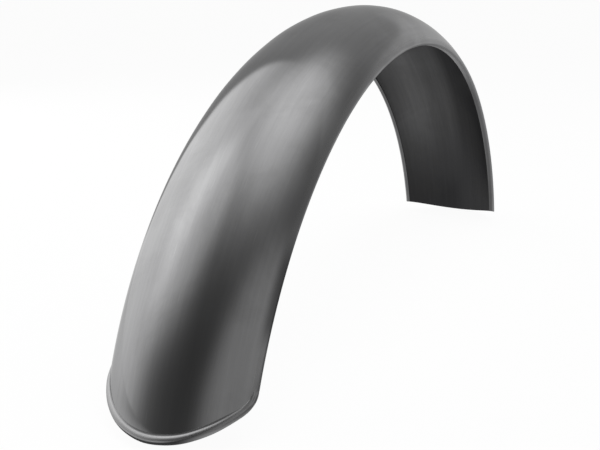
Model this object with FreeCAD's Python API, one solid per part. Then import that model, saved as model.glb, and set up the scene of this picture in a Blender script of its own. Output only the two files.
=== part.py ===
"""Motorcycle mudguard blade: one piece of sheet steel, rolled round a wheel and left undrilled.

The blade is a shallow round section carried round the wheel axis. Each side edge is turned in as a
flat lip. The tail is cut to a round arc with rounded corners and its edge is rolled into a bead that
runs into both side edges. The front end is a plain sheared edge that bows forward in the middle.

Frame, in millimetres: the origin is on the underside of the crown at the top of the arch, +X points
to the plain front end, +Y runs along the wheel axis and +Z is up.
"""

import FreeCAD, Part
import math
import os

# Driving dimensions, in millimetres and degrees
crown_radius = 340.0     # wheel axis to the outside of the crown
overall_width = 114.0    # across the outside of the two side edges
section_depth = 33.5     # outside of the crown to the wheel side of the lips
sheet = 1.2              # thickness of the steel
bend_radius = 1.5        # inside radius of the bend from wall to lip, whose round the fold's flats touch
lip_width = 5.5          # outside of the wall to the lip's free edge
front_angle = 76.70      # from the top of the arch to the middle of the front edge
front_bow = 18.4         # how far the middle of the front edge stands beyond its corners
lip_trim = 1.5           # how far the lips stop short of the front corners
tail_angle = 75.45       # from the top of the arch to the middle of the bead's centre line
tail_bow = 27.0          # how far the tail's arc stands beyond its corners before they are rounded
tail_corner = 24.0       # radius of the tail's rounded corners
bead_diameter = 6.4      # outside of the bead along the tail
bead_height = 2.0        # how far the bead stands proud of the blade's outside

# Sizes that follow from them
half_width = overall_width / 2
bead_radius = bead_diameter / 2
outer_bend = bend_radius + sheet
bend_y = half_width - outer_bend
wheel_axis = FreeCAD.Vector(0, 0, sheet - crown_radius)
lip_radius = crown_radius - section_depth
bend_r = lip_radius + outer_bend
# The crown's arc passes through the top of the section and runs smoothly into both bends.
section_radius = ((bend_y ** 2 + (section_depth - outer_bend) ** 2 - outer_bend ** 2)
                  / (2 * (section_depth - 2 * outer_bend)))
arc_centre_r = crown_radius - section_radius
wall_angle = math.atan2(bend_y, bend_r - arc_centre_r)
# The bead's centre line ends inside the two bends, where the bead is flush with the walls' lower ends.
tail_half = half_width - bead_radius * math.cos(wall_angle)
tail_arc = (tail_half ** 2 + tail_bow ** 2) / (2 * tail_bow)
corner_start = math.asin((tail_half - tail_corner) / (tail_arc - tail_corner))
tail_setback = tail_arc - (tail_arc - tail_corner) * math.cos(corner_start)
front_arc = (half_width ** 2 + front_bow ** 2) / (2 * front_bow)


def around_wheel(angle, radius, across):
    """A point at an angle from the top of the arch, a radius from the wheel axis and a place across."""
    return wheel_axis + FreeCAD.Vector(radius * math.sin(angle), across, radius * math.cos(angle))


def wall_end(radius, across):
    """How far from the wheel axis an arc about the section's centre is when it reaches a place across."""
    return arc_centre_r + math.sqrt(radius ** 2 - across ** 2)


def crown_arc(radius, across):
    """An arc about the section's centre, from side to side between the places where it reaches across."""
    ends = [around_wheel(0, wall_end(radius, across), side * across) for side in (-1, 1)]
    top = around_wheel(0, arc_centre_r + radius, 0)
    return Part.Arc(ends[0], top, ends[1]).toShape()


def side_edges(sign):
    """One side of the section from wall to wall: an upright flat, a slanting flat and the lip, out and back."""
    outer_cut = outer_bend * (2 - math.sqrt(2))
    inner_cut = bend_radius * (2 - math.sqrt(2))
    inner_y = half_width - sheet
    inner_r = lip_radius + sheet
    free_y = half_width - lip_width
    places = [(half_width, wall_end(section_radius, half_width)), (half_width, lip_radius + outer_cut),
              (half_width - outer_cut, lip_radius), (free_y, lip_radius),
              (free_y, inner_r), (inner_y - inner_cut, inner_r),
              (inner_y, inner_r + inner_cut), (inner_y, wall_end(section_radius - sheet, inner_y))]
    corners = [around_wheel(0, radius, sign * across) for across, radius in places]
    return [Part.LineSegment(start, end).toShape() for start, end in zip(corners, corners[1:])]


def section_face():
    """The sheet's closed section at the top of the arch."""
    outside = crown_arc(section_radius, half_width)
    inside = crown_arc(section_radius - sheet, half_width - sheet)
    edges = [outside, inside, *side_edges(1), *side_edges(-1)]
    return Part.Face(Part.Wire(Part.__sortEdges__(edges)))


def rolled_blade():
    """The section carried round the wheel axis, past both ends."""
    spare = math.degrees(2 * bead_diameter / crown_radius)
    start, end = -tail_angle - spare, front_angle + spare
    face = section_face()
    face.rotate(wheel_axis, FreeCAD.Vector(0, 1, 0), start)
    return face.revolve(wheel_axis, FreeCAD.Vector(0, 1, 0), end - start)


def end_frame(angle):
    """The middle of an end and its directions outward along the blade and away from the wheel."""
    side = 1 if angle > 0 else -1
    away = FreeCAD.Vector(math.sin(angle), 0, math.cos(angle))
    along = FreeCAD.Vector(side * math.cos(angle), 0, -side * math.sin(angle))
    return around_wheel(angle, crown_radius, 0), along, away


def end_cutters(angle, outline, setback):
    """Two prisms: one takes away what lies beyond an end's outline, one the lips beyond its corners.

    The outline is a list of (across, along) places on the plane that touches the crown at the end.
    """
    middle, along, away = end_frame(angle)
    below = middle - away * (2 * section_depth)
    reach = 2 * bead_diameter

    def place(across, distance):
        return below + FreeCAD.Vector(0, across, 0) + along * distance

    curve = Part.BSplineCurve()
    curve.interpolate([place(*point) for point in outline])
    corners = [place(overall_width, -setback), place(overall_width, reach),
               place(-overall_width, reach), place(-overall_width, -setback)]
    around = Part.makePolygon([curve.EndPoint, *corners, curve.StartPoint])
    beyond_outline = Part.Face(Part.Wire([curve.toShape(), *around.Edges]))
    beyond_corners = Part.Face(Part.makePolygon([*corners, corners[0]]))
    return [beyond_outline.extrude(away * (3 * section_depth)),
            beyond_corners.extrude(away * (section_depth + outer_bend))]


def spread(count, start, end):
    """Evenly spaced values from start to end."""
    return [start + (end - start) * step / (count - 1) for step in range(count)]


def tail_outline():
    """The bead's centre line: a round arc with a rounded corner at each end, flush with the sides."""
    middle = [(tail_arc * math.sin(turn), tail_arc * (math.cos(turn) - 1))
              for turn in spread(15, -corner_start, corner_start)]
    corner = [(tail_half + tail_corner * (math.sin(turn) - 1), tail_corner * math.cos(turn) - tail_setback)
              for turn in spread(6, corner_start, math.pi / 2)[1:]]
    return [*[(-across, distance) for across, distance in reversed(corner)], *middle, *corner]


def front_outline():
    """A round arc through the middle of the front edge and its two corners."""
    reach = math.asin(half_width / front_arc)
    return [(front_arc * math.sin(turn), front_arc * (math.cos(turn) - 1))
            for turn in spread(15, -reach, reach)]


def bead_path():
    """The tail's outline laid at the depth of the bead's centre below the blade's outside."""
    centre_radius = section_radius - (bead_radius - bead_height)
    points = []
    for across, distance in tail_outline():
        radius = arc_centre_r + math.sqrt(centre_radius ** 2 - across ** 2)
        angle = -math.radians(tail_angle) - math.asin(distance / radius)
        points.append(around_wheel(angle, radius, across))
    curve = Part.BSplineCurve()
    curve.interpolate(points)
    return curve


def tail_bead():
    """The round bead along the tail, dressed down to a taper at each side edge."""
    path = bead_path()
    start, end = path.FirstParameter, path.LastParameter
    ring = Part.Wire(Part.Circle(path.value(start), path.tangent(start)[0], bead_radius).toShape())
    bead = Part.Wire(path.toShape()).makePipeShell([ring], True, False)
    tip_radius = bead_radius - sheet / 10
    tips = []
    for parameter, side in ((start, -1), (end, 1)):
        onward = path.tangent(parameter)[0] * side
        root = path.value(parameter) - onward * sheet
        tips.append(Part.makeCone(tip_radius, tip_radius / 2, sheet + bead_radius, root, onward))
    return bead.multiFuse(tips)


def mudguard():
    """The finished blade as one solid."""
    tail = end_cutters(-math.radians(tail_angle), tail_outline(), tail_setback)
    front = end_cutters(math.radians(front_angle), front_outline(), front_bow + lip_trim)
    blade = rolled_blade()
    for cutter in (*tail, *front):
        blade = blade.cut(cutter)
    return blade.fuse(tail_bead()).removeSplitter()


os.makedirs("parts", exist_ok=True)
shape = mudguard()
shape.Solids[0].exportStep("parts/mudguard.step")
print("solids", len(shape.Solids), "valid", shape.isValid(), "volume", round(shape.Volume))
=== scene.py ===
import bpy
import numpy as np
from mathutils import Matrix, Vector


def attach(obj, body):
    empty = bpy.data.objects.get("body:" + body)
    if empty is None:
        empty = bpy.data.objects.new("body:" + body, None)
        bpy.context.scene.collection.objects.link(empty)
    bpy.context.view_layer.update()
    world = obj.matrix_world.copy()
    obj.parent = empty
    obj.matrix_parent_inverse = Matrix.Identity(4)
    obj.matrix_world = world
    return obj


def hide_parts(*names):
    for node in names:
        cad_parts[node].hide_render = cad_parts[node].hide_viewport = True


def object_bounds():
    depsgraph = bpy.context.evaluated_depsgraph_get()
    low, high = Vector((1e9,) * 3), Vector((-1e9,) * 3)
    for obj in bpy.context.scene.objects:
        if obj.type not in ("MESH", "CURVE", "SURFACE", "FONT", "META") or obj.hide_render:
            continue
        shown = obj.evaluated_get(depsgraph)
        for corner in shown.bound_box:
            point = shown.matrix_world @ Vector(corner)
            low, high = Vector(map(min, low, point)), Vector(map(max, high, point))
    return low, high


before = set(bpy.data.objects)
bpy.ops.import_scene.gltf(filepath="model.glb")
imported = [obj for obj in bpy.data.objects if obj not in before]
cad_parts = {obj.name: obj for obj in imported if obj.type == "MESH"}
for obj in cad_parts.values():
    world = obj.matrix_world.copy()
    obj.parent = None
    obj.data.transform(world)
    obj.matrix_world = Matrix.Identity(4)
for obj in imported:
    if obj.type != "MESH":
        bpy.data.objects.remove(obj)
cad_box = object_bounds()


# Blade. One strip of 1.2 mm steel sheet, rolled to a shallow round section and curved round the wheel.
# Its side edges are turned in as flat lips, its front edge is sheared and its tail is cut to an arc. The
# outside is bare and linished, duller at the bends; the inside keeps most of its dark rolling scale, which
# also serves as painted shade inside the arch, painted lighter to the left round the top. Painted shade also
# darkens the lips' wheel side, a band by the right edge above the tail and the lips' free edges.
crown_radius = 0.340                      # in metres, from the wheel axis to the outside of the crown
sheet = 0.0012
half_width = 0.057                        # left is +Y and right is -Y, as seen from the tail
section_depth = 0.0335                    # outside of the crown to the wheel side of the lips
outer_bend = 0.0027                       # outside radius of the bend from wall to lip
lip_width = 0.0055
front_angle = np.radians(76.70)           # from the top of the arch, as every angle along the blade
front_bow = 0.0184                        # how far the middle of the front edge stands beyond its corners
lip_trim = 0.0015                         # how far the lips stop short of the front corners
full_trim = 0.8 * np.pi                   # turn of the section at which they stop short by all of it
tail_angle = np.radians(75.45)
tail_bow = 0.027
left_corner = 0.0205                      # radii of the tail's corners
right_corner = 0.0195
tail_skew = 0.030                         # slope of the tail's line, which is a little askew
front_flare = 0.0013                      # how far the right side stands wide at the front edge
flare_start = np.radians(35)
bead_radius = 0.0032
bead_height = 0.0020                      # how far the bead stands proud of the blade's outside
tail_overlap = 0.0015                     # how far the sheet reaches past the bead's centre line
edge_round = 0.00035
edge_pinch = 0.4                          # share of the thickness left at a dressed cut edge
half_round = np.radians([45, 90, 135])    # steps round a lip's free edge
crease_angle = np.radians(38)             # faces that meet at more than this keep a sharp corner
inside_shift = 0.2                        # shift of the inside's pattern from the outside's on the UV map
# Waves left by planishing: share of the height, wavelengths along and across, and phase.
planish_waves = ((1.0, 0.083, 0.19, 0.4), (0.7, 0.051, -0.11, 1.9), (0.6, 0.26, 0.047, 2.6))
wave_height = 0.00006
wave_fade = (0.045, 0.062)                # length from the top of the section over which they die out
steel_colour = (0.53, 0.53, 0.535, 1)
# Dark rolling scale; the same colour is painted shade inside the arch, on the lips, by the right edge and
# under the bead.
scale_and_shade_colour = (0.036, 0.036, 0.0375, 1)
# Shares of scale and bare metal. A pair is where a share starts to come in and where it is all there.
lip_scale_and_shade = 0.72                          # scale and painted shade on the lips' wheel side, away from the top of the arch
lip_turn = (2.2, np.pi)
lip_angle = np.radians((18, 38))
painted_shade_strip = 0.62                        # painted shade, a dark band along the right edge above the tail
strip_across = (0.0512, 0.0558)
strip_start = np.radians((49, 55))
strip_end = np.radians((60.5, 65))
inside_bare = 0.03                        # metal that shows through the scale all over the inside
middle_painted_light = 0.10                        # more metal as painted light, from the middle to the left, round the top of the arch
middle_across = (-0.020, -0.002)
left_painted_light = 0.14
left_across = (0.008, 0.036)
inside_fade = np.radians((44, 70))
end_painted_shade = 0.03                          # and less metal as painted shade, on the left by both ends
end_angle = np.radians((66, 74))
end_across = (-0.020, 0.005)
cut_bare = 0.5                            # metal on the cut edges
edge_dull = 0.6                           # share of the linishing that misses the side edges
dull_across = (0.0515, 0.0565)
dull_turn = (1.9, 2.7)                    # turn of the section over which it stops

axis_height = sheet - crown_radius
bend_y = half_width - outer_bend
lip_radius = crown_radius - section_depth
bend_r = lip_radius + outer_bend
section_radius = ((bend_y ** 2 + (section_depth - outer_bend) ** 2 - outer_bend ** 2)
                  / (2 * (section_depth - 2 * outer_bend)))
arc_centre = crown_radius - section_radius
wall_angle = np.arctan2(bend_y, bend_r - arc_centre)
tail_half = half_width - bead_radius * np.cos(wall_angle)
tail_arc = (tail_half ** 2 + tail_bow ** 2) / (2 * tail_bow)
front_arc = (half_width ** 2 + front_bow ** 2) / (2 * front_bow)


def ease(value, start, end):
    """A smooth step: 0 up to start, 1 from end, and 3t^2 - 2t^3 of the share t between them."""
    share = np.clip((value - start) / (end - start), 0, 1)
    return share * share * (3 - 2 * share)


def round_the_wheel(angle, across, radius):
    """Places by the angle from the top of the arch, the place across and the radius from the wheel axis."""
    ahead, up = radius * np.sin(angle), radius * np.cos(angle) + axis_height
    return np.stack(np.broadcast_arrays(ahead, across, up), -1)


def sheet_section(crown_steps, bend_steps, lip_steps):
    """The middle of the sheet across the blade, from one lip's free edge over the crown to the other's.

    Each half is an arc about the section's centre up to the wall's angle, an arc about the bend's centre
    on to half a turn, then the straight lip. Gives the place across, the radius, the turn of the outward
    normal from straight up, and the length from the top.
    """
    crown = np.linspace(0, wall_angle, crown_steps, endpoint=False)
    bend = np.linspace(wall_angle, np.pi, bend_steps, endpoint=False)
    lip = np.linspace(bend_y, half_width - lip_width + edge_round, lip_steps)
    big, small = section_radius - sheet / 2, outer_bend - sheet / 2
    across = np.concatenate([big * np.sin(crown), bend_y + small * np.sin(bend), lip])
    radius = np.concatenate([arc_centre + big * np.cos(crown), bend_r + small * np.cos(bend),
                             np.full(lip_steps, lip_radius + sheet / 2)])
    turn = np.concatenate([crown, bend, np.full(lip_steps, np.pi)])
    length = np.concatenate([[0], np.cumsum(np.hypot(np.diff(across), np.diff(radius)))])
    half = np.stack([across, radius, turn, length])
    return np.concatenate([half[:, :0:-1] * np.array([[-1], [1], [-1], [-1]]), half], axis=1)


def front_line(across):
    """How far the front edge stands from its middle: a round arc through the middle and both corners."""
    return np.sqrt(front_arc ** 2 - across ** 2) - front_arc


def tail_turn(side):
    """The tail's corner on each side: its radius, the arc's turn where it starts, how far back it ends."""
    corner = np.where(side < 0, right_corner, left_corner)
    start = np.arcsin((tail_half - corner) / (tail_arc - corner))
    return corner, start, tail_arc - (tail_arc - corner) * np.cos(start)


def tail_line(across, side, grow):
    """The tail's line moved outward by grow: a large arc, a smaller one at each corner, all of it askew."""
    corner, start, setback = tail_turn(side)
    large = np.sqrt(np.maximum((tail_arc + grow) ** 2 - across ** 2, 0)) - tail_arc
    small = np.sqrt(np.maximum((corner + grow) ** 2 - (across - tail_half + corner) ** 2, 0)) - setback
    return np.where(across < (tail_arc + grow) * np.sin(start), large, small) + tail_skew * side * across


def planished(along, across):
    """Slow waves left by rolling and planishing: sines that cross one another and fade out to the edges."""
    waves = sum(share * np.sin(2 * np.pi * (along / run + across / span) + phase)
                for share, run, span, phase in planish_waves)
    return wave_height * waves * (1 - ease(np.abs(across), *wave_fade))


def blade_finish(angle, across, turn, outer):
    """Shares of bare metal and of linishing by the angle along, the place across and the turn of the section.

    The outer skin is bare but for the lips' wheel side and a strip by the right edge, which take scale and
    painted shade. The inner skin keeps its scale, which also serves as painted shade; painted light makes it
    lighter to the left round the top of the arch and painted shade darker on the left by both ends. Only the
    outer skin is linished, and not the bends.
    """
    # Painted shade: scale on the lips' wheel side away from the top of the arch, and a dark band along the
    # right edge above the tail.
    lips = ease(np.abs(turn), *lip_turn) * ease(np.abs(angle), *lip_angle)
    strip = ease(-across, *strip_across) * ease(-angle, *strip_start) * (1 - ease(-angle, *strip_end))
    outside = (1 - lip_scale_and_shade * lips) * (1 - painted_shade_strip * strip)
    # Painted light makes the inside lighter from the middle to the left round the top of the arch; painted
    # shade darkens it on the left by both ends.
    rubbed = middle_painted_light * ease(across, *middle_across) + left_painted_light * ease(across, *left_across)
    inside = inside_bare + rubbed * (1 - ease(np.abs(angle), *inside_fade))
    inside = inside - end_painted_shade * ease(np.abs(angle), *end_angle) * ease(across, *end_across)
    bare = np.where(outer, outside, inside)
    linished = (1 - edge_dull * ease(np.abs(across), *dull_across)) * (1 - ease(np.abs(turn), *dull_turn))
    return bare, np.where(outer, linished, 0.0) * np.ones_like(bare)


def quads(index, beside):
    """The faces between the rows of a grid of point numbers and the same grid one column on."""
    return np.stack([index[:-1], index[1:], beside[1:], beside[:-1]], -1).reshape(-1, 4)


def rolled_blade(rows, crown_steps, bend_steps, lip_steps):
    """The sheet's closed section carried round the wheel from the tail's line to the front line.

    Every point's angle is a share of the way between its own two ends. The skins lie half the sheet either
    side of the middle line, the lips' free edges are half-round, and the first and last rows are drawn
    together and a little further out, as a dressed cut edge is. Gives the points, faces, UV places and
    shares of the finish.
    """
    across, radius, turn, length = sheet_section(crown_steps, bend_steps, lip_steps)
    cut_y = np.where(np.abs(turn) <= np.pi / 2, np.abs(across), half_width)
    short = lip_trim * ease(np.abs(turn), np.pi / 2, full_trim)
    tail = -tail_angle - np.arcsin(tail_line(cut_y, np.sign(across), tail_overlap) / radius)
    front = front_angle + np.arcsin((front_line(cut_y) - short) / radius)

    count, steps = len(across), len(half_round)
    column = np.concatenate([np.arange(count), [count - 1] * steps, np.arange(count)[::-1], [0] * steps])
    upper_skin, lower_skin = np.ones(count), -np.ones(count)
    lift = np.concatenate([upper_skin, np.cos(half_round), lower_skin, -np.cos(half_round)]) * sheet / 2
    reach = np.concatenate([np.zeros(count), np.sin(half_round)] * 2) * edge_round
    rows_across = np.stack([across, radius, turn, length, tail, front])
    across, radius, turn, length, tail, front = rows_across[:, column]
    share = np.concatenate([[0], np.linspace(0, 1, rows), [1]])[:, None]
    pinch = np.concatenate([[edge_pinch], np.ones(rows), [edge_pinch]])[:, None]
    spill = np.concatenate([[-1], np.zeros(rows), [1]])[:, None] * edge_round / crown_radius
    angle = tail + (front - tail) * share + spill
    along = angle * crown_radius
    height = pinch * lift + planished(along, length)
    flare = front_flare * np.minimum(across / half_width, 0) * ease(angle, flare_start, front_angle)
    y = across + height * np.sin(turn) - np.sign(across) * reach + flare
    points = round_the_wheel(angle, y, radius + height * np.cos(turn))
    uv = np.stack(np.broadcast_arrays(along, length + (lift < 0) * inside_shift), -1)
    bare, linished = blade_finish(angle, across, turn, lift > 0)
    # The lips' free edges take the full scale colour: a painted shade line where each lip hides the inside
    # behind it.
    bare[:, reach > 0] = 0
    bare[[0, -1]] = cut_bare

    index = np.arange(angle.size).reshape(angle.shape)
    faces = quads(index, np.roll(index, -1, axis=1)).tolist()
    first_round = count - 1
    last_round = len(column) - steps - 1
    for row, step in ((index[0], -1), (index[-1], 1)):
        upper, lower = row[:count], row[last_round - np.arange(count)]
        strip = np.stack([lower[:-1], lower[1:], upper[1:], upper[:-1]], -1)[:, ::step]
        ends = [row[first_round:first_round + steps + 2], np.append(row[last_round:], row[0])]
        faces += strip.tolist() + [end[::-step].tolist() for end in ends]
    return points, faces, uv, bare, linished


def new_piece(name, points, faces):
    """An object at the origin with a mesh of these points and faces, linked to the scene."""
    mesh = bpy.data.meshes.new(name)
    mesh.from_pydata(points.reshape(-1, 3).tolist(), [], faces)
    piece = bpy.data.objects.new(name, mesh)
    bpy.context.scene.collection.objects.link(piece)
    return piece


def point_values(mesh, name, values):
    """A named attribute with one value for each point of a mesh."""
    mesh.attributes.new(name, "FLOAT", "POINT").data.foreach_set("value", values.astype(np.float32).ravel())


def steel_mesh(name, points, faces, uv, bare, linished):
    """A smooth piece that keeps its sharp corners, with a UV map in metres and both shares of the finish."""
    piece = new_piece(name, points, faces)
    mesh = piece.data
    mesh.polygons.foreach_set("use_smooth", np.ones(len(mesh.polygons), dtype=bool))
    mesh.set_sharp_from_angle(angle=crease_angle)
    corners = np.empty(len(mesh.loops), dtype=np.int32)
    mesh.loops.foreach_get("vertex_index", corners)
    places = uv.reshape(-1, 2)[corners].astype(np.float32)
    mesh.uv_layers.new(name="sheet").data.foreach_set("uv", places.ravel())
    # The bare share carries painted shade where it is low and painted reflections and glints on the bead, as
    # well as real scale and bare metal.
    point_values(mesh, "bare", bare)
    point_values(mesh, "linished", linished)
    mesh.validate()
    return piece


def shader_group(name, inputs, outputs):
    """An empty shader node group with named sockets, and its input and output nodes."""
    tree = bpy.data.node_groups.new(name, "ShaderNodeTree")
    for label, kind, value in inputs:
        socket = tree.interface.new_socket(label, in_out="INPUT", socket_type=kind)
        if value is not None:
            socket.default_value = value
    for label, kind in outputs:
        tree.interface.new_socket(label, in_out="OUTPUT", socket_type=kind)
    return tree, tree.nodes.new("NodeGroupInput"), tree.nodes.new("NodeGroupOutput")


def node(tree, kind, links=(), **settings):
    """One node of a tree: settings by property or input name, links as (input, socket)."""
    made = tree.nodes.new(kind)
    for key, value in settings.items():
        if hasattr(made, key):
            setattr(made, key, value)
        else:
            made.inputs[key.replace("_", " ")].default_value = value
    for target, source in links:
        tree.links.new(source, made.inputs[target])
    return made


def streak_noise(tree, vector, scale, turn, detail):
    """Noise drawn out along the sheet: the pattern is turned, then scaled far more across than along."""
    placed = node(tree, "ShaderNodeMapping", [("Vector", vector)], Rotation=(0, 0, turn), Scale=scale)
    return node(tree, "ShaderNodeTexNoise", [("Vector", placed.outputs["Vector"])], Scale=1.0, Detail=detail,
                Roughness=0.6).outputs["Fac"]


# Linishing: fine lines along the sheet, a broader streak under them.
linish, into, out = shader_group("linishing", [("Vector", "NodeSocketVector", None)],
                                 [("Grain", "NodeSocketFloat"), ("Streak", "NodeSocketFloat")])
for label, scale, turn, detail in (("Grain", (60, 2600, 1), 0.0, 3), ("Streak", (9, 260, 1), 0.01, 2)):
    lines = streak_noise(linish, into.outputs["Vector"], scale, turn, detail)
    linish.links.new(lines, out.inputs[label])

# Handling bloom: cloudy patches where oil and hands have dulled the metal.
bloom, into, out = shader_group("handling_bloom", [("Vector", "NodeSocketVector", None),
                                                   ("Scale", "NodeSocketFloat", 14.0)],
                                [("Bloom", "NodeSocketFloat")])
cloud = node(bloom, "ShaderNodeTexNoise",
             [("Vector", into.outputs["Vector"]), ("Scale", into.outputs["Scale"])],
             Detail=5.0, Roughness=0.62, Distortion=0.4)
dulled = node(bloom, "ShaderNodeMapRange", [("Value", cloud.outputs["Fac"])],
              interpolation_type="SMOOTHSTEP", From_Min=0.36, From_Max=0.68)
bloom.links.new(dulled.outputs["Result"], out.inputs["Bloom"])

# Scuffs: short thin scratches in two directions, kept where a drawn-out noise is highest.
scuffs, into, out = shader_group("scuffs", [("Vector", "NodeSocketVector", None)],
                                 [("Scuff", "NodeSocketFloat")])
scratches = []
for scale, turn in (((26, 1500, 1), 0.5), ((34, 1900, 1), -0.28)):
    noise = streak_noise(scuffs, into.outputs["Vector"], scale, turn, detail=1)
    scratch = node(scuffs, "ShaderNodeMapRange", [("Value", noise)],
                   From_Min=0.735, From_Max=0.80, To_Max=0.5)
    scratches.append(scratch.outputs["Result"])
both = node(scuffs, "ShaderNodeMath", [(0, scratches[0]), (1, scratches[1])], operation="MAXIMUM")
scuffs.links.new(both.outputs["Value"], out.inputs["Scuff"])


def new_material(name):
    """A material without nodes, and its node tree."""
    material = bpy.data.materials.new(name)
    material.use_nodes = True
    material.node_tree.nodes.clear()
    return material, material.node_tree


def bare_steel(name, metal, scale_and_shade, rim, shine, dull, bump):
    """Steel where the piece's bare share is 1 and dark rolling scale, which also serves as painted shade,
    where it is 0.

    The linished share takes the roughness from dull to shine, and rim tints what is seen at a grazing
    angle. Grain, streaks and bloom move the colour and the roughness a little, scuffs the colour, and
    grain and streaks raise the surface.
    """
    black = (0.0, 0.0, 0.0, 1)
    oil_colour = (0.10, 0.095, 0.09, 1)
    scratch_colour = (0.72, 0.72, 0.72, 1)
    streak_shade, bloom_shade, grain_shade = (0.0, 0.08), (0.0, 0.09), (0.0, 0.07)
    line_rough, bloom_rough = (-0.03, 0.03), (-0.01, 0.04)
    line_height = (0.0, 0.5)
    relief_depth = 0.0002
    material, tree = new_material(name)
    place = node(tree, "ShaderNodeUVMap", uv_map="sheet").outputs["UV"]
    body = node(tree, "ShaderNodeTexCoord").outputs["Object"]
    share = node(tree, "ShaderNodeAttribute", attribute_name="bare").outputs["Fac"]
    worked = node(tree, "ShaderNodeAttribute", attribute_name="linished").outputs["Fac"]
    lines = node(tree, "ShaderNodeGroup", node_tree=linish)
    clouds = node(tree, "ShaderNodeGroup", node_tree=bloom)
    nicks = node(tree, "ShaderNodeGroup", node_tree=scuffs)
    tree.links.new(place, lines.inputs["Vector"])
    tree.links.new(body, clouds.inputs["Vector"])
    tree.links.new(place, nicks.inputs["Vector"])
    grain, streak = lines.outputs["Grain"], lines.outputs["Streak"]
    cloudy, nick = clouds.outputs["Bloom"], nicks.outputs["Scuff"]

    def mixed(factor, first, second):
        made = node(tree, "ShaderNodeMix", data_type="RGBA")
        factor_socket, first_colour, second_colour = made.inputs[0], made.inputs[6], made.inputs[7]
        for socket, value in ((factor_socket, factor), (first_colour, first), (second_colour, second)):
            if isinstance(value, bpy.types.NodeSocket):
                tree.links.new(value, socket)
            else:
                socket.default_value = value
        return made.outputs[2]

    def ranged(value, span):
        made = node(tree, "ShaderNodeMapRange", [("Value", value)], From_Min=0.25, From_Max=0.75,
                    To_Min=span[0], To_Max=span[1])
        return made.outputs["Result"]

    def summed(*values):
        total = values[0]
        for value in values[1:]:
            total = node(tree, "ShaderNodeMath", [(0, total), (1, value)], operation="ADD").outputs["Value"]
        return total

    # Scale where the bare share is low, which also serves as painted shade; bright metal where it is high.
    toned = mixed(share, scale_and_shade, metal)
    toned = mixed(ranged(streak, streak_shade), toned, black)
    toned = mixed(ranged(cloudy, bloom_shade), toned, oil_colour)
    toned = mixed(ranged(grain, grain_shade), toned, black)
    kept = node(tree, "ShaderNodeMath", [(0, nick), (1, share)], operation="MULTIPLY")
    toned = mixed(kept.outputs["Value"], toned, scratch_colour)
    base = node(tree, "ShaderNodeMapRange", [("Value", worked)], To_Min=dull, To_Max=shine)
    rough = summed(base.outputs["Result"], ranged(grain, line_rough), ranged(streak, line_rough),
                   ranged(cloudy, bloom_rough))
    raised = summed(ranged(grain, line_height), ranged(streak, line_height))
    relief = node(tree, "ShaderNodeBump", [("Height", raised)], Strength=bump, Distance=relief_depth)
    steel = node(tree, "ShaderNodeBsdfPrincipled",
                 [("Base Color", toned), ("Roughness", rough), ("Normal", relief.outputs["Normal"])],
                 Metallic=1.0, Specular_Tint=(rim, rim, rim, 1))
    node(tree, "ShaderNodeOutputMaterial", [("Surface", steel.outputs["BSDF"])])
    return material


blade = steel_mesh("blade", *rolled_blade(rows=330, crown_steps=46, bend_steps=10, lip_steps=3))
blade.data.materials.append(bare_steel("linished_sheet", steel_colour, scale_and_shade_colour,
                                       rim=0.7, shine=0.08, dull=0.5, bump=0.03))
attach(blade, "root")
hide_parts("mudguard")


# Tail bead. The tail's edge is rolled over into a round bead that stiffens it. It is the sheet itself,
# closed by hand, with both ends hammered and filed down until they run into the side edges. The crest is
# rubbed bright with the blade and the right end is dressed bright all round; the rest keeps its scale, which
# is also painted shade on the underside. The lower rim carries a painted reflection and the right end's marks
# carry painted glints.
bead_colour = (0.66, 0.66, 0.665, 1)
left_sink = 0.0006                        # how far it sinks into the blade towards each end
right_sink = 0.0008
sink_length = 0.030
left_run = -0.004                         # how far it runs on past the end of each corner
right_run = 0.002
end_taper = 0.009                         # length over which an end runs down into the sheet
end_drop = 0.0016                         # and how far down
tangent_step = 1e-5
# Angles round the bead are from the blade's outward normal, negative on the blade's side.
shoulder = 0.0011                         # how far the bead swells where it meets the blade
shoulder_angle = np.radians(-80)
shoulder_spread = np.radians(13)
shoulder_dressed = 0.6                    # share of the swelling that is dressed away at the ends
# Waves along and round the bead: strength, wavelength along, turns round, and phase.
mark_waves = ((1.0, 0.013, 9, 0.3), (0.8, -0.017, 13, 1.1), (0.5, 0.0052, 2, 2.2))
slow_waves = ((1.0, 0.021, 1, 0.0), (1.0, 0.034, -1, 2.0))
mark_height = 0.000045
slow_height = 0.00005
dressed_length = 0.022                    # the marks of hammer and file start this far from an end
dressed_full = 0.004                      # and are at their strongest this far from it
left_marks = 0.25                         # how strong they are on the left beside the right
# Shares of bare metal. A pair is where a share starts to come in and where it is all there.
root_turn = np.radians((-80, -54))
root_bare = 0.55                          # metal at the root on the left
root_along = (0.004, 0.030)
rub_limit = np.radians(13)                # how far over the crest the metal is bare
rub_less = np.radians(26)                 # and by how much less to the right and more to the left
rub_more = np.radians(14)
rub_right = (0.0, 0.045)
rub_left = (0.0, 0.050)
rub_soft = np.radians((-9, 9))
under_bare = 0.05                         # metal beyond the crest, the rest scale and painted shade, and more of it on the lower rim as a painted reflection
rim_painted_reflection = 0.30
rim_turn = np.radians((42, 62))
dressed_bare = 0.8                        # metal all round the right end, and how much the marks move it as painted glints
mark_painted_glint = 0.16
dressed_along = (0.018, 0.042)
linished_along = (-0.005, 0.020)          # from here to the right the bare metal is linished too


def corner_length(side):
    """The length of the bead's line from its middle to the end of the corner on each side."""
    corner, start, _ = tail_turn(side)
    return tail_arc * start + corner * (np.pi / 2 - start)


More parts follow.
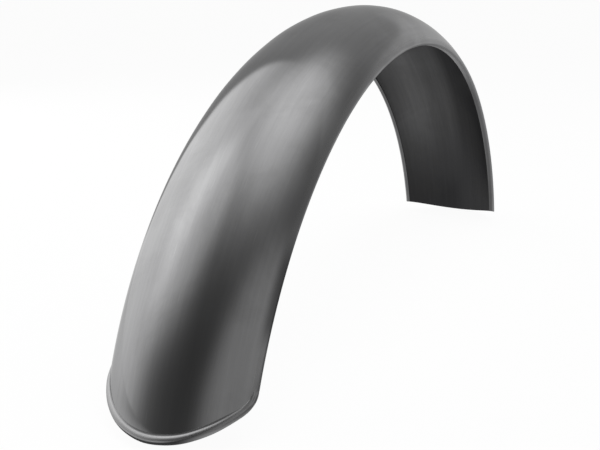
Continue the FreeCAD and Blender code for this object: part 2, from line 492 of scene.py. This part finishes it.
def bead_line(place):
    """The bead's centre by the length from its middle: the tail's large arc, its corner arc, straight on.

    It lies at the bead's depth under the blade's outside, sinks a little more towards both ends and runs
    down into the sheet at the last. Gives the points and the outward normals of the blade there.
    """
    side, far = np.sign(place), np.abs(place)
    corner, start, setback = tail_turn(side)
    arc_end, corner_end = tail_arc * start, corner_length(side)
    corner_turn = np.minimum(start + (far - arc_end) / corner, np.pi / 2)
    turn = np.where(far < arc_end, far / tail_arc, corner_turn)
    across = np.where(far < arc_end, tail_arc * np.sin(turn), tail_half + corner * (np.sin(turn) - 1))
    along = np.where(far < arc_end, tail_arc * (np.cos(turn) - 1), corner * np.cos(turn) - setback)
    along = along - np.maximum(far - corner_end, 0) + tail_skew * side * across
    sink = np.where(side < 0, right_sink, left_sink)
    stop = corner_end + np.where(side < 0, right_run, left_run)
    depth = bead_radius - bead_height + sink * ease(far, corner_end - sink_length, corner_end)
    depth = depth + end_drop * ease(far, stop - end_taper, stop + bead_radius)
    ring = section_radius - depth
    tilt = np.arcsin(across / (section_radius - bead_radius + bead_height))
    radius = arc_centre + ring * np.cos(tilt)
    angle = -tail_angle - np.arcsin(along / radius)
    points = round_the_wheel(angle, side * ring * np.sin(tilt), radius)
    level = np.cos(tilt)
    return points, np.stack([level * np.sin(angle), side * np.sin(tilt), level * np.cos(angle)], -1)


def crossed_waves(waves, along, around):
    """The sum of each wave's strength times the sine of 2 pi along / wavelength + turns x around + phase."""
    return sum(strength * np.sin(2 * np.pi * along / wavelength + turns * around + phase)
               for strength, wavelength, turns, phase in waves)


def bead_finish(along, around, marks):
    """Shares of bare metal and of linishing by the length along the bead and the angle round it.

    The metal is bare from the root over the crest, up to a limit that moves along the bead. Beyond it the
    scale stays as painted shade on the underside, but for a painted reflection on the lower rim, and the
    right end is bare all round, with painted glints on its marks.
    """
    limit = rub_limit - rub_less * ease(-along, *rub_right) + rub_more * ease(along, *rub_left)
    root = root_bare * ease(along, *root_along)
    crest = root + (1 - root) * ease(around, *root_turn) - ease(around - limit, *rub_soft)
    # Painted shade beyond the crest, with a painted reflection on the lower rim.
    painted_underside = under_bare + rim_painted_reflection * ease(around, *rim_turn)
    # Painted glints on the hammer and file marks at the right end.
    dressed = painted_underside + (dressed_bare + mark_painted_glint * marks - painted_underside) * ease(-along, *dressed_along)
    bare = np.maximum(crest, dressed)
    return bare, bare * ease(-along, *linished_along)


def rolled_bead(steps, ring_steps, tip_steps):
    """A round profile carried along the bead's line, with domed tips closed by a pole at each end.

    The profile swells into a soft shoulder on the blade's side. Towards the ends, waves along and round the
    bead stand for the marks of hammer and file. Gives what rolled_blade gives.
    """
    right, left = corner_length(np.array([-1, 1])) + np.array([right_run, left_run])
    tip = bead_radius * np.sin(np.radians(np.linspace(0, 90, tip_steps + 1)[1:]))
    place = np.concatenate([-right - tip[::-1], np.linspace(-right, left, steps), left + tip])
    past_end = np.abs(place) - np.where(place < 0, right, left)
    size = np.sqrt(np.maximum(1 - (np.maximum(past_end, 0) / bead_radius) ** 2, 0))
    centre, normal = bead_line(place)
    ahead = bead_line(place + tangent_step)[0] - bead_line(place - tangent_step)[0]
    ahead /= np.linalg.norm(ahead, axis=1, keepdims=True)
    normal -= (normal * ahead).sum(1, keepdims=True) * ahead
    normal /= np.linalg.norm(normal, axis=1, keepdims=True)
    outward = np.cross(normal, ahead)

    along = place[:, None]
    around = np.linspace(-np.pi, np.pi, ring_steps, endpoint=False)[None, :]
    near_end = ease(past_end, -dressed_length, -dressed_full)[:, None]
    marks = near_end * crossed_waves(mark_waves, along, around)
    uneven = (mark_height * marks * np.where(along < 0, 1.0, left_marks)
              + slow_height * crossed_waves(slow_waves, along, around))
    swell = shoulder * np.exp(-((around - shoulder_angle) / shoulder_spread) ** 2)
    thick = size[:, None] * (bead_radius + uneven + swell * (1 - shoulder_dressed * near_end))
    points = centre[:, None] + thick[..., None] * (np.cos(around)[..., None] * normal[:, None]
                                                   + np.sin(around)[..., None] * outward[:, None])
    uv = np.stack(np.broadcast_arrays(along, around * bead_radius), -1)
    bare, linished = bead_finish(along, around, marks)

    index = np.arange((len(place) - 2) * ring_steps).reshape(-1, ring_steps)
    beside = np.roll(index, -1, axis=1)
    first, last = np.full(ring_steps, index.size), np.full(ring_steps, index.size + 1)
    poles = np.concatenate([np.stack([first, index[0], beside[0]], -1),
                            np.stack([last, beside[-1], index[-1]], -1)])
    points, uv, bare, linished = [
        np.concatenate([grid[1:-1].reshape(index.size, -1), grid[[0, -1], 0].reshape(2, -1)])
        for grid in (points, uv, bare, linished)]
    return points, quads(index, beside).tolist() + poles.tolist(), uv, bare, linished


bead = steel_mesh("tail_bead", *rolled_bead(steps=221, ring_steps=64, tip_steps=6))
bead.data.materials.append(bare_steel("rubbed_bead", bead_colour, scale_and_shade_colour,
                                      rim=0.6, shine=0.34, dull=0.48, bump=0.06))
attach(bead, "root")
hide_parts("mudguard")


# Floor. A wide sheet of pale studio paper, on which the mudguard stands on its bead and its front edge.
# It is nearly white to the camera and in the steel, and takes the object's soft shadow.
floor_half = 60.0
floor_steps = 25
floor_level = cad_box[0][2] - edge_round
floor_colour = (0.9, 0.9, 0.9, 1)
floor_glow = 0.95                         # share of plain white in what the camera and the steel see of it


def level_sheet(east, north, level):
    """The points and faces of a level sheet over a grid of places."""
    cells = np.arange(east.size).reshape(east.shape)
    points = np.stack([east, north, np.full_like(east, level)], -1)
    return points, quads(cells[:, :-1], cells[:, 1:]).tolist()


def seen_directly(tree):
    """1 on a ray from the camera, off a glossy surface or through a clear one, and 0 on the others."""
    path = node(tree, "ShaderNodeLightPath")
    seen = path.outputs["Is Camera Ray"]
    for ray in ("Is Glossy Ray", "Is Transmission Ray"):
        seen = node(tree, "ShaderNodeMath", [(0, seen), (1, path.outputs[ray])], operation="ADD",
                    use_clamp=True).outputs["Value"]
    return seen


spread = np.linspace(-floor_half, floor_half, floor_steps)
east, north = np.meshgrid(spread, spread, indexing="ij")
floor = new_piece("floor", *level_sheet(east, north, floor_level))
pale, tree = new_material("studio_paper")
whitened = node(tree, "ShaderNodeMath", [(0, seen_directly(tree))], operation="MULTIPLY")
whitened.inputs[1].default_value = floor_glow
matt = node(tree, "ShaderNodeBsdfDiffuse", Color=floor_colour)
white = node(tree, "ShaderNodeEmission", Color=(1, 1, 1, 1), Strength=1.0)
blend = node(tree, "ShaderNodeMixShader", [(0, whitened.outputs["Value"]), (1, matt.outputs["BSDF"]),
                                           (2, white.outputs["Emission"])])
node(tree, "ShaderNodeOutputMaterial", [("Surface", blend.outputs["Shader"])])
floor.data.materials.append(pale)


# Reflection tent. A dome of soft panels round the object, as metal is lit in a studio: a tall bright one on
# the left, a softer one overhead behind the camera, and a pale wall that ends in a skyline on the right. It
# shows only in the steel: the camera looks through it and it gives no shadow.
tent_length = 0.70                        # the tent's half axes, and how far ahead its middle stands
tent_width = 0.50
tent_height = 0.80
tent_ahead = 0.22
turn_steps, rise_steps = 241, 91
first_turn = -120                         # angles on the tent are in degrees
top_rise = 89.9
# Soft round patches: level, azimuth, rise, size and softness.
overhead_patch = (0.85, -160.5, 55.8, 24.0, 6.3)
beyond_patch = (0.49, 22.8, -21.3, 106.2, 19.9)
grey_patch = (0.25, -144.4, -8.4, 26.1, 2.1)
strip_patch = (0.45, 161.8, 25.4, 15.3, 2.3)
# The left panel: its level, its edges with their softness, and the rise of its middle with its spread.
# The edges ahead and across are in metres.
panel_level = 1.19
panel_ahead = (0.080, 0.010)
panel_behind = (162.0, 3.5)
panel_across = (0.185, 0.158)
panel_rise, panel_spread = 23.4, 40.0
# The wall on the right: its ends with their softness, what it gains and loses, and its skyline.
wall_ahead = (12.0, 8.0)
wall_behind = (-150.0, 4.0)
wall_gain, wall_loss = 0.52, 0.05
skyline_rise, skyline_drop, skyline_soft = 47.0, 19.0, 1.2
skyline_turn = (60.0, 122.0)


def soft_edge(value, place, soft):
    """From 0 below a place to 1 above it: 1 / (1 + e^-x), with x the distance above over the softness."""
    return 1 / (1 + np.exp(-np.clip((value - place) / soft, -40, 40)))


def tent_place(azimuth, rise):
    """A place on the tent by two angles in degrees: a half ellipsoid that stands on the floor."""
    azimuth, rise = np.radians(azimuth), np.radians(rise)
    return (tent_ahead + tent_length * np.cos(rise) * np.cos(azimuth),
            tent_width * np.cos(rise) * np.sin(azimuth), floor_level + tent_height * np.sin(rise))


def bright_panels(azimuth, rise):
    """How bright the tent is by direction in degrees: a panel with soft edges and four soft round patches.

    The panel fades as e^-x^2 of the rise from its middle over its spread. A patch is a soft edge in the
    angle from its middle. On the right, the patch beyond the object is brighter below the skyline.
    """
    def patch(level, middle_azimuth, middle_rise, size, soft):
        height, middle = np.radians(rise), np.radians(middle_rise)
        cosine = (np.sin(height) * np.sin(middle)
                  + np.cos(height) * np.cos(middle) * np.cos(np.radians(azimuth - middle_azimuth)))
        return level * (1 - soft_edge(np.degrees(np.arccos(np.clip(cosine, -1, 1))), size, soft))

    x, y, _ = tent_place(azimuth, rise)
    panel = (panel_level * (1 - soft_edge(x, *panel_ahead)) * (1 - soft_edge(azimuth, *panel_behind))
             * soft_edge(y, *panel_across) * np.exp(-((rise - panel_rise) / panel_spread) ** 2))
    bearing = np.where(azimuth > 180, azimuth - 360, azimuth)
    skyline = skyline_rise - skyline_drop * ease(-bearing, *skyline_turn)
    wall = (1 - soft_edge(bearing, *wall_ahead)) * soft_edge(bearing, *wall_behind)
    below = 1 - soft_edge(rise, skyline, skyline_soft)
    beyond = patch(*beyond_patch) * (1 + wall * (wall_gain * below - wall_loss))
    return panel + beyond + patch(*overhead_patch) + patch(*grey_patch) + patch(*strip_patch)


def studio_cloth(name, points, faces, glow, material):
    """A cloth that glows by its own attribute and shows only in the steel, with no shadow of its own."""
    cloth = new_piece(name, points, faces)
    point_values(cloth.data, "glow", glow)
    cloth.data.materials.append(material)
    cloth.visible_camera = False
    cloth.visible_diffuse = False
    cloth.visible_shadow = False
    cloth.visible_transmission = False
    return cloth


silk, tree = new_material("tent_cloth")
shade = node(tree, "ShaderNodeAttribute", attribute_name="glow")
shine = node(tree, "ShaderNodeEmission", [("Color", shade.outputs["Color"])], Strength=1.0)
node(tree, "ShaderNodeOutputMaterial", [("Surface", shine.outputs["Emission"])])
azimuth, rise = np.meshgrid(np.linspace(first_turn, first_turn + 360, turn_steps)[:-1],
                            np.linspace(0, top_rise, rise_steps), indexing="ij")
cells = np.arange(azimuth.size).reshape(azimuth.shape).T
panes = quads(cells, np.roll(cells, -1, axis=1)).tolist()
tent = studio_cloth("reflection_tent", np.stack(tent_place(azimuth, rise), -1), panes,
                    bright_panels(azimuth, rise), silk)


# Floor cards. Grey card lies on the floor before the tail and along the right side, as flags for the steel,
# with paler card further on at the right. On the left and under the arch the card is nearly white. It shows
# only in the steel, as the tent does.
card_height = 0.0006
card_bright = 0.86
card_grey = 0.12
far_grey = 0.36
card_east = np.linspace(-0.95, 1.0, 118)
card_north = np.linspace(-0.6, 0.6, 73)
right_edge = (-0.055, 0.02)               # place and softness of each edge
far_edge = (0.16, 0.05)
front_edge, front_soft = -0.365, 0.045
front_lead = 0.03                         # how much nearer to the camera that edge lies on the left
lead_north = (0.12, 0.25)
east, north = np.meshgrid(card_east, card_north, indexing="ij")
inner = soft_edge(north, *right_edge)
lit = inner * soft_edge(east, front_edge - front_lead * ease(north, *lead_north), front_soft)
further = (1 - inner) * soft_edge(east, *far_edge)
card_glow = card_grey + (card_bright - card_grey) * lit + (far_grey - card_grey) * further
card_points, panes = level_sheet(east, north, floor_level + card_height)
cards = studio_cloth("floor_cards", card_points, panes, card_glow, silk)


# Lamps and surroundings. Two large soft boxes, from the left and from above, and an even pale room.
# They light the floor and the dull scale; the steel's reflections come from the tent and the cards.
lamp_target = Vector((0, 0, -0.1))
room_fill = 0.45
for name, place, size, power in (("left_softbox", (0.1, 1.5, 0.7), 1.4, 16.0),
                                 ("top_softbox", (-0.2, -0.3, 1.6), 1.2, 14.0)):
    lamp = bpy.data.lights.new(name, "AREA")
    lamp.size = size
    lamp.energy = power
    box = bpy.data.objects.new(name, lamp)
    box.location = place
    box.rotation_euler = (lamp_target - Vector(place)).to_track_quat("-Z", "Y").to_euler()
    box.visible_glossy = False
    bpy.context.scene.collection.objects.link(box)
room = bpy.data.worlds.new("pale_room")
bpy.context.scene.world = room
room.use_nodes = True
tree = room.node_tree
tree.nodes.clear()
fill = node(tree, "ShaderNodeBackground", Color=(1, 1, 1, 1), Strength=room_fill)
white = node(tree, "ShaderNodeBackground", Color=(1, 1, 1, 1), Strength=1.0)
blend = node(tree, "ShaderNodeMixShader", [(0, seen_directly(tree)), (1, fill.outputs["Background"]),
                                           (2, white.outputs["Background"])])
node(tree, "ShaderNodeOutputWorld", [("Surface", blend.outputs["Shader"])])


# Camera. It stands behind and to the right of the tail, a little above the arch, and looks down along the
# blade.
camera_place = Vector((-0.6781, -0.2856, 0.0094))
camera_look = Vector((0.85559, 0.43895, -0.27439))
lens = bpy.data.cameras.new("camera")
lens.lens = 48.275
lens.sensor_width = 36.0
lens.clip_start = 0.01
camera = bpy.data.objects.new("camera", lens)
camera.location = camera_place
camera.rotation_euler = camera_look.to_track_quat("-Z", "Y").to_euler()
bpy.context.scene.collection.objects.link(camera)
bpy.context.scene.camera = camera
bpy.context.scene.view_settings.view_transform = "Standard"
